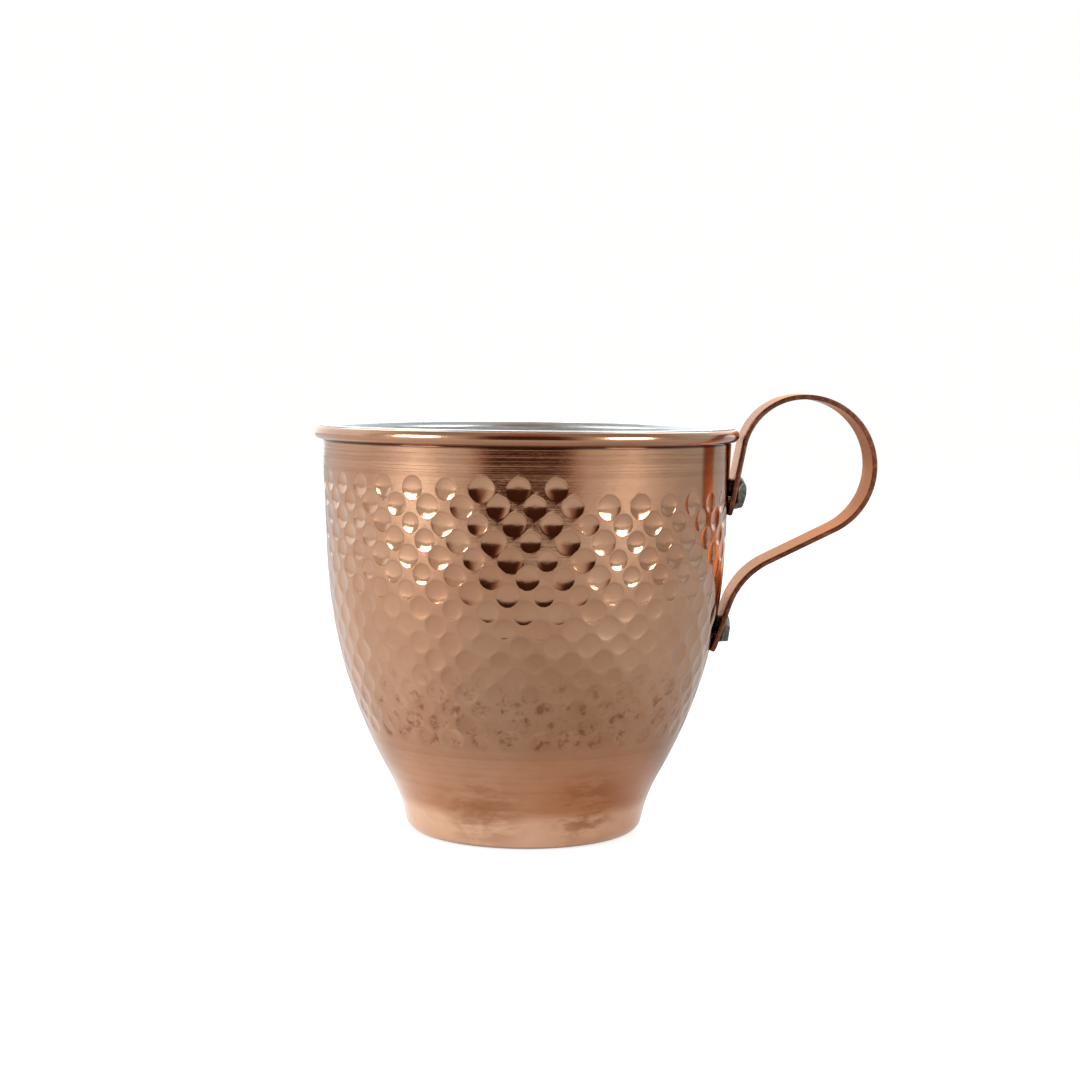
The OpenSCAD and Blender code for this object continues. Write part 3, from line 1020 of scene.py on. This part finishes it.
upper_tip, lower_tip = foot_tip(UPPER_TIP_DROP), foot_tip(LOWER_TIP_DROP)
to_bead = bead_centre - upper_tip
upper_lean = degrees(atan2(to_bead.x, to_bead.y) + asin((BEAD_RADIUS + RIM_GAP) / to_bead.length))
lower_lean = wall_lean(lower_tip.y) + LOWER_SPLAY
shoulder_start = upper_tip + STRAP_THICK / 2 * out(upper_lean) + UPPER_FOOT * up(upper_lean)
shoulder_centre = shoulder_start + SHOULDER_RADIUS * out(upper_lean)
loop_lean = upper_lean + SHOULDER_TURN
loop_centre = shoulder_centre + (LOOP_RADIUS - SHOULDER_RADIUS) * out(loop_lean)
sweep_end = lower_tip + STRAP_THICK / 2 * out(lower_lean) + LOWER_FOOT * up(lower_lean)
sweep_centre = sweep_end + SWEEP_RADIUS * out(lower_lean)
to_sweep = sweep_centre - loop_centre
run_length = sqrt(to_sweep.length_squared - (LOOP_RADIUS + SWEEP_RADIUS) ** 2)
run_lean = degrees(atan2(to_sweep.x, to_sweep.y) + atan2(LOOP_RADIUS + SWEEP_RADIUS, run_length))
run_lean += 360 if run_lean < loop_lean else 0


def strap_route():
    """Mid-thickness points from the upper tip to the lower one, close enough to look round."""
    step = 0.25 * MM

    def arc(centre, radius, first, last):
        count = ceil(abs(radians(last - first)) * radius / step)
        return [centre - radius * out(a) for a in spread(first, last, count)]

    def line(first, last):
        return [first.lerp(last, t) for t in spread(0, 1, ceil((last - first).length / step))]

    upper = upper_tip + STRAP_THICK / 2 * out(upper_lean)
    lower = lower_tip + STRAP_THICK / 2 * out(lower_lean)
    shoulder = arc(shoulder_centre, SHOULDER_RADIUS, upper_lean, loop_lean)
    loop = arc(loop_centre, LOOP_RADIUS, loop_lean, run_lean)
    sweep = arc(sweep_centre, SWEEP_RADIUS, run_lean - 180, lower_lean)
    return (line(upper, shoulder[0])[:-1] + shoulder[:-1] + loop[:-1]
            + line(loop[-1], sweep[0])[:-1] + sweep[:-1] + line(sweep[-1], lower))


ROUTE = strap_route()
ROUTE_LENGTH = lengths_along(ROUTE)[-1]
print("the strap is", round(ROUTE_LENGTH / MM, 1), "mm long; its loop reaches x =",
      round(max(p.x for p in ROUTE) / MM + STRAP_THICK / MM / 2, 2), "and the frame says",
      round(STRAP_HIGH.x / MM, 2))


# %% The strap's section and tree
def strap_section():
    """A rounded rectangle, as x across the strap and y through it."""
    corner, half_width, half_thick = 0.32 * MM, STRAP_WIDTH / 2, STRAP_THICK / 2
    points = []
    for quarter, (sx, sy) in enumerate(((1, 1), (-1, 1), (-1, -1), (1, -1))):
        centre = Vector((sx * (half_width - corner), sy * (half_thick - corner)))
        points += [centre + corner * ray(a) for a in spread(90 * quarter, 90 * quarter + 90, 5)]
        if quarter in (0, 2):
            points += [Vector((-t * sx * (half_width - corner), sy * half_thick))
                       for t in spread(-1, 1, 9)[1:-1]]
    return points + [points[0].copy()]


def bent_strap(tree, given):
    section = object_geometry(tree, given["Section"])
    count = point_count(tree, section)
    mesh = grid(tree, count, given["Stations"])
    share = read(tree, "across")
    crowding = 0.85
    distance = (share - (share * (2 * pi)).math("SINE") * (crowding / (2 * pi))) * given["Length"]
    mesh = stored(tree, mesh, "run", distance)
    index = (read(tree, "round") * (count - 1)).math("ROUND")
    wide, _, thick = parts_of(tree, at_point(tree, section, position(tree), index))
    from_tip = distance.math("MINIMUM", given["Length"] - distance)
    corner = given["Tip Corner"]
    short = corner - from_tip.math("MINIMUM", corner)
    drawn_in = corner - (corner * corner - short * short).math("MAXIMUM", 0).math("SQRT")
    edge = noise_at(tree, vector(tree, distance * 260, wide.math("SIGN") * 3, 0.5), 1.0, 2.0)
    width = given["Width"] * 0.5 - drawn_in - edge * given["Sawn Edge"]
    thin = (1 - (from_tip / given["Tip Round"]).math("MINIMUM", 1)) ** 2
    thick = thick * (1 - thin).math("MAXIMUM", 0).math("SQRT")
    (x, _, z), (along_x, _, along_z) = along_curve(tree, given["Route"], distance)
    side = wide / (given["Width"] * 0.5)
    mesh = stored(tree, mesh, "side", side)
    mesh = stored(tree, mesh, "through", thick / (STRAP_THICK / 2))
    place = vector(tree, x - along_z * thick, side * width, z + along_x * thick)
    return moved(tree, mesh, Position=place)


# %% Strap copper
def strap_copper():
    """Attributes along, across and through the strap place the tones. side is -1 and 1 at
    the cut edges. through is 1 on the loop's outer face, which is turned to the cup at the
    upper foot and away from it at the lower one, and -1 on the other face."""
    material, tree, shader, place = new_material("strap_copper")
    run = attribute(tree, "run")
    side = attribute(tree, "side")
    grain = noise_at(tree, vector(tree, run * 45, side * 26, 0.0), 3.0, 5.0, 0.7)
    patches = cloud(tree, place, 0.012, 4, 0.6, shift=(2, 6, 3))
    specks = cloud(tree, place, 0.0012, 4, 0.7, shift=(5, 5, 1))
    colour = Paint(tree, patches.between(0.32, 0.7), (0.58, 0.32, 0.21), (0.46, 0.215, 0.125))
    colour.over(grain.between(0.35, 0.7) * 0.40, (0.72, 0.45, 0.34))
    through = attribute(tree, "through")
    # Painted shade: the faces of both feet that lie against the cup are darkened.
    upper_foot = (1 - run.between(22 * MM, 34 * MM)) * through.between(0.2, 0.6)
    lower_foot = (run - ROUTE_LENGTH).between(-30 * MM, -16 * MM) * (through * -1).between(0.2, 0.6)
    cupward_shade = upper_foot + lower_foot
    colour.over(cupward_shade * 0.9, (0.16, 0.045, 0.022))
    # Painted shade: the strap's inner face from the loop onwards, turned to the cup, is darkened.
    inside = run.between(44 * MM, 56 * MM) * (through * -1).between(0.2, 0.6)
    colour.over(inside * 0.8, (0.20, 0.07, 0.035))
    heated = run.between(41 * MM, 52 * MM) * (1 - run.between(76 * MM, 88 * MM))
    heated = heated * patches.between(0.25, 0.5) * (1 - inside * 0.4)
    colour.over(heated * 0.95, (0.44, 0.135, 0.04))
    filings = cloud(tree, place, 0.0007, 3, 0.75, shift=(1, 4, 9)).between(0.55, 0.72)
    colour.over(heated * filings * 0.6, (0.85, 0.52, 0.33))
    cut_edge = side.math("ABSOLUTE").between(0.955, 0.985)
    edge_colour = Paint(tree, specks.between(0.4, 0.7), (0.12, 0.04, 0.024), (0.30, 0.12, 0.07))
    colour.over(cut_edge * 0.9, edge_colour)
    tip = 1 - (run.math("MINIMUM", ROUTE_LENGTH - run)).between(0.6 * MM, 7 * MM)
    colour.over(tip * 0.55, (0.22, 0.09, 0.05))
    colour.over(specks.between(0.56, 0.72) * 0.35, (0.30, 0.13, 0.08))
    normal = bump(tree, grain, 0.03 * MM, 0.7)
    normal = bump(tree, specks * (0.6 + heated), 0.08 * MM, 0.6, normal)
    rough = 0.22 + grain * 0.10 + cut_edge * 0.20 + tip * 0.10 + heated * 0.30 - cupward_shade * 0.12
    join(tree, shader, Base_Color=colour.socket, Roughness=rough, Normal=normal,
         Specular_Tint=(0.90, 0.60, 0.42, 1), Metallic=1 - heated * (1 - filings) * 0.5)
    return material


# %% Make the strap
route_guide = guide("route_guide", ROUTE, as_curve=True)
section_guide = guide("section_guide", strap_section())
strap = made_by(bent_strap, "strap_handle", 0.01 * MM, {
    "Route": route_guide, "Section": section_guide, "Length": ROUTE_LENGTH, "Width": STRAP_WIDTH,
    "Tip Corner": TIP_CORNER, "Tip Round": 0.35 * MM, "Stations": 240, "Sawn Edge": 0.12 * MM,
    "Material": strap_copper()})
report_mesh(strap)
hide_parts("handle_strap")
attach(strap, "root")

# %% [markdown]
# ## The rivets
# Each rivet was set by hand: a low button inside, the shank through tin, copper and
# strap, and a dark outer head beaten squat. No head is round. A head starts as a turned
# profile, leans down the strap as it rises, and is then cut by a few flat hammer blows,
# which leaves facets with crisp borders.

# %% Rivet values
RIVET_INSET = 6.1 * MM
SHANK_RADIUS = 2 * MM
SEAT_RADIUS, HEAD_RADIUS, HEAD_HEIGHT = 3.1 * MM, 3.9 * MM, 2.6 * MM
BUTTON_RADIUS, BUTTON_HEIGHT = 3.5 * MM, 1.1 * MM
RIVET_SPOKES = 72
WORN_EDGE = 0.16 * MM


def rivet_depth(tip, lean):
    """How far the tin's inner face lies behind the strap's inner face, along the rivet."""
    centre = tip + RIVET_INSET * up(lean)
    slope = wall_lean(centre.y)
    behind = centre.x - wall_x(centre.y) + (SHEET + TIN) / cos(radians(slope))
    return behind / (cos(radians(lean)) + sin(radians(lean)) * tan(radians(slope)))


def eased_curve(points, count):
    """A smooth curve through a few points, with count steps between each two."""
    padded = [points[0]] + points + [points[-1]]
    curve = []
    for a, b, c, d in zip(padded, padded[1:], padded[2:], padded[3:]):
        for t in spread(0, 1, count)[:-1]:
            curve.append(0.5 * (2 * b + (c - a) * t + (2 * a - 5 * b + 4 * c - d) * t * t
                                + (3 * b - a - 3 * c + d) * t ** 3))
    return curve + [points[-1]]


def rivet_profile(depth):
    """Radius and height from the inner button's middle to the outer head's middle."""
    bottom = -depth - BUTTON_HEIGHT
    button = [Vector(p) for p in (
        (0, bottom), (1.6 * MM, bottom + 0.04 * MM), (2.9 * MM, bottom + 0.30 * MM),
        (BUTTON_RADIUS, bottom + 0.75 * MM), (BUTTON_RADIUS - 0.1 * MM, -depth + 0.12 * MM))]
    shank = [Vector((SHANK_RADIUS, height))
             for height in (-depth + 0.14 * MM, STRAP_THICK - 0.06 * MM)]
    top = STRAP_THICK + HEAD_HEIGHT
    head = [Vector(p) for p in (
        (SEAT_RADIUS, STRAP_THICK - 0.04 * MM), (SEAT_RADIUS + 0.35 * MM, STRAP_THICK + 0.42 * MM),
        (HEAD_RADIUS, STRAP_THICK + 1.15 * MM), (HEAD_RADIUS - 0.12 * MM, STRAP_THICK + 1.75 * MM),
        (3.0 * MM, top - 0.28 * MM), (1.9 * MM, top - 0.04 * MM), (0, top))]
    return eased_curve(button, 4) + shank + eased_curve(head, 6)


def set_rivet(name, tip, lean, sag, crown_tilt, flats, seed):
    """A rivet through a foot. sag is how far its head leans down the strap, crown_tilt how
    steeply its top falls, and flats are hammer blows: turn, tilt, distance from its middle."""
    upward, outward = up(lean), out(lean)
    along_strap = Vector((upward.x, 0, upward.y))
    away = Vector((outward.x, 0, outward.y))
    across = away.cross(along_strap)
    base = tip + RIVET_INSET * upward
    base = Vector((base.x, 0, base.y))
    profile = rivet_profile(rivet_depth(tip, lean))
    cuts = []
    for turn, tilt, bite in flats:
        face = (away * cos(radians(tilt)) + along_strap * sin(radians(tilt)) * cos(radians(turn))
                + across * sin(radians(tilt)) * sin(radians(turn)))
        cuts.append((face, bite * MM))
    vertices, wear = [], []
    middle = base + away * (STRAP_THICK + 0.9 * MM) - along_strap * sag * 0.5
    for radius, height in profile:
        for i in range(RIVET_SPOKES):
            turn = 2 * pi * i / RIVET_SPOKES
            spoke = along_strap * cos(turn) + across * sin(turn)
            risen = max(0.0, min(1.0, (height - STRAP_THICK) / HEAD_HEIGHT))
            point = base + away * height + spoke * radius
            point -= along_strap * sag * sin(min(risen * 1.9, 1) * pi / 2)
            point += away * crown_tilt * risen * (-radius * cos(turn))
            rough = noise.noise(point * 420 + Vector((seed, 0, 0))) * 0.10 * MM
            worn = 0.0
            if height > STRAP_THICK:
                point += (point - middle).normalized() * rough
                for face, bite in cuts:
                    over = (point - middle).dot(face) - bite
                    if over > 0:
                        point -= face * over
                    worn = max(worn, 1 - abs(over) / WORN_EDGE)
            elif radius > SHANK_RADIUS:
                point += spoke * rough * 0.5
            vertices.append(point)
            wear.append(max(worn, 0.0))
    faces = []
    for k in range(len(profile) - 1):
        for i in range(RIVET_SPOKES):
            j = (i + 1) % RIVET_SPOKES
            faces.append((k * RIVET_SPOKES + i, k * RIVET_SPOKES + j,
                          (k + 1) * RIVET_SPOKES + j, (k + 1) * RIVET_SPOKES + i))
    mesh = bpy.data.meshes.new(name)
    mesh.from_pydata(vertices, [], faces)
    mesh.attributes.new("wear", "FLOAT", "POINT").data.foreach_set("value", wear)
    work = bmesh.new()
    work.from_mesh(mesh)
    bmesh.ops.remove_doubles(work, verts=work.verts, dist=0.002 * MM)
    work.to_mesh(mesh)
    work.free()
    mesh.shade_smooth()
    return placed(name, mesh)


# %% Dark rivet metal
def rivet_metal():
    material, tree, shader, place = new_material("rivet_metal")
    wear = attribute(tree, "wear")
    mottled = cloud(tree, place, 0.0016, 4, 0.65)
    grit = cloud(tree, place, 0.0005, 3, 0.7, shift=(3, 3, 3))
    colour = Paint(tree, mottled.between(0.35, 0.7), (0.085, 0.095, 0.082), (0.19, 0.20, 0.175))
    colour.over(wear * 0.6 * grit.between(0.3, 0.6), (0.52, 0.50, 0.45))
    normal = bump(tree, mottled * 0.6 + grit * 0.4, 0.14 * MM, 0.8)
    rough = 0.34 + mottled * 0.18 - wear * 0.12
    join(tree, shader, Base_Color=colour.socket, Roughness=rough, Normal=normal, Metallic=1.0)
    return material


# %% Set the rivets
dark_metal = rivet_metal()
upper_blows = ((10, 40, 2.2), (80, 50, 2.6), (155, 70, 3.3),
               (215, 66, 3.3), (285, 48, 2.6), (20, 10, 1.75))
lower_blows = ((20, 46, 1.7), (95, 44, 2.4), (170, 68, 3.1),
               (230, 52, 2.6), (310, 50, 2.2), (0, 12, 1.15))
upper_head = set_rivet("upper_rivet_set", upper_tip, upper_lean, 1.25 * MM, 0.0, upper_blows, 3)
lower_head = set_rivet("lower_rivet_set", lower_tip, lower_lean, 1.0 * MM, 0.05, lower_blows, 8)
for head, node_name in ((upper_head, "upper_rivet"), (lower_head, "lower_rivet")):
    head.data.materials.append(dark_metal)
    report_mesh(head)
    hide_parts(node_name)
    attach(head, "root")


# %% [markdown]
# ## The wire in the rim
# The rim is rolled round a wire. It is hidden all round, so its CAD ring stays as it is
# and only gets the finish of drawn wire.

# %% Drawn wire
def drawn_wire():
    material, tree, shader, place = new_material("drawn_wire")
    patches = cloud(tree, place, 0.008, 3)
    lines = cloud(tree, place, 0.0006, 3, 0.6, stretch=(0.1, 0.1, 1))
    colour = Paint(tree, patches.between(0.35, 0.65), (0.42, 0.42, 0.41), (0.30, 0.28, 0.26))
    join(tree, shader, Base_Color=colour.socket, Roughness=0.3 + lines * 0.15, Metallic=1.0,
         Normal=bump(tree, lines, 0.02 * MM, 0.6))
    return material


wire_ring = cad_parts["rim_wire"]
if not wire_ring.material_slots:
    wire_ring.data.materials.append(None)
wire_ring.material_slots[0].material = drawn_wire()

# %% Remove the helpers
for helper in (outline_guide, rim_guide, base_guide, lining_guide, route_guide, section_guide):
    bpy.data.objects.remove(helper)
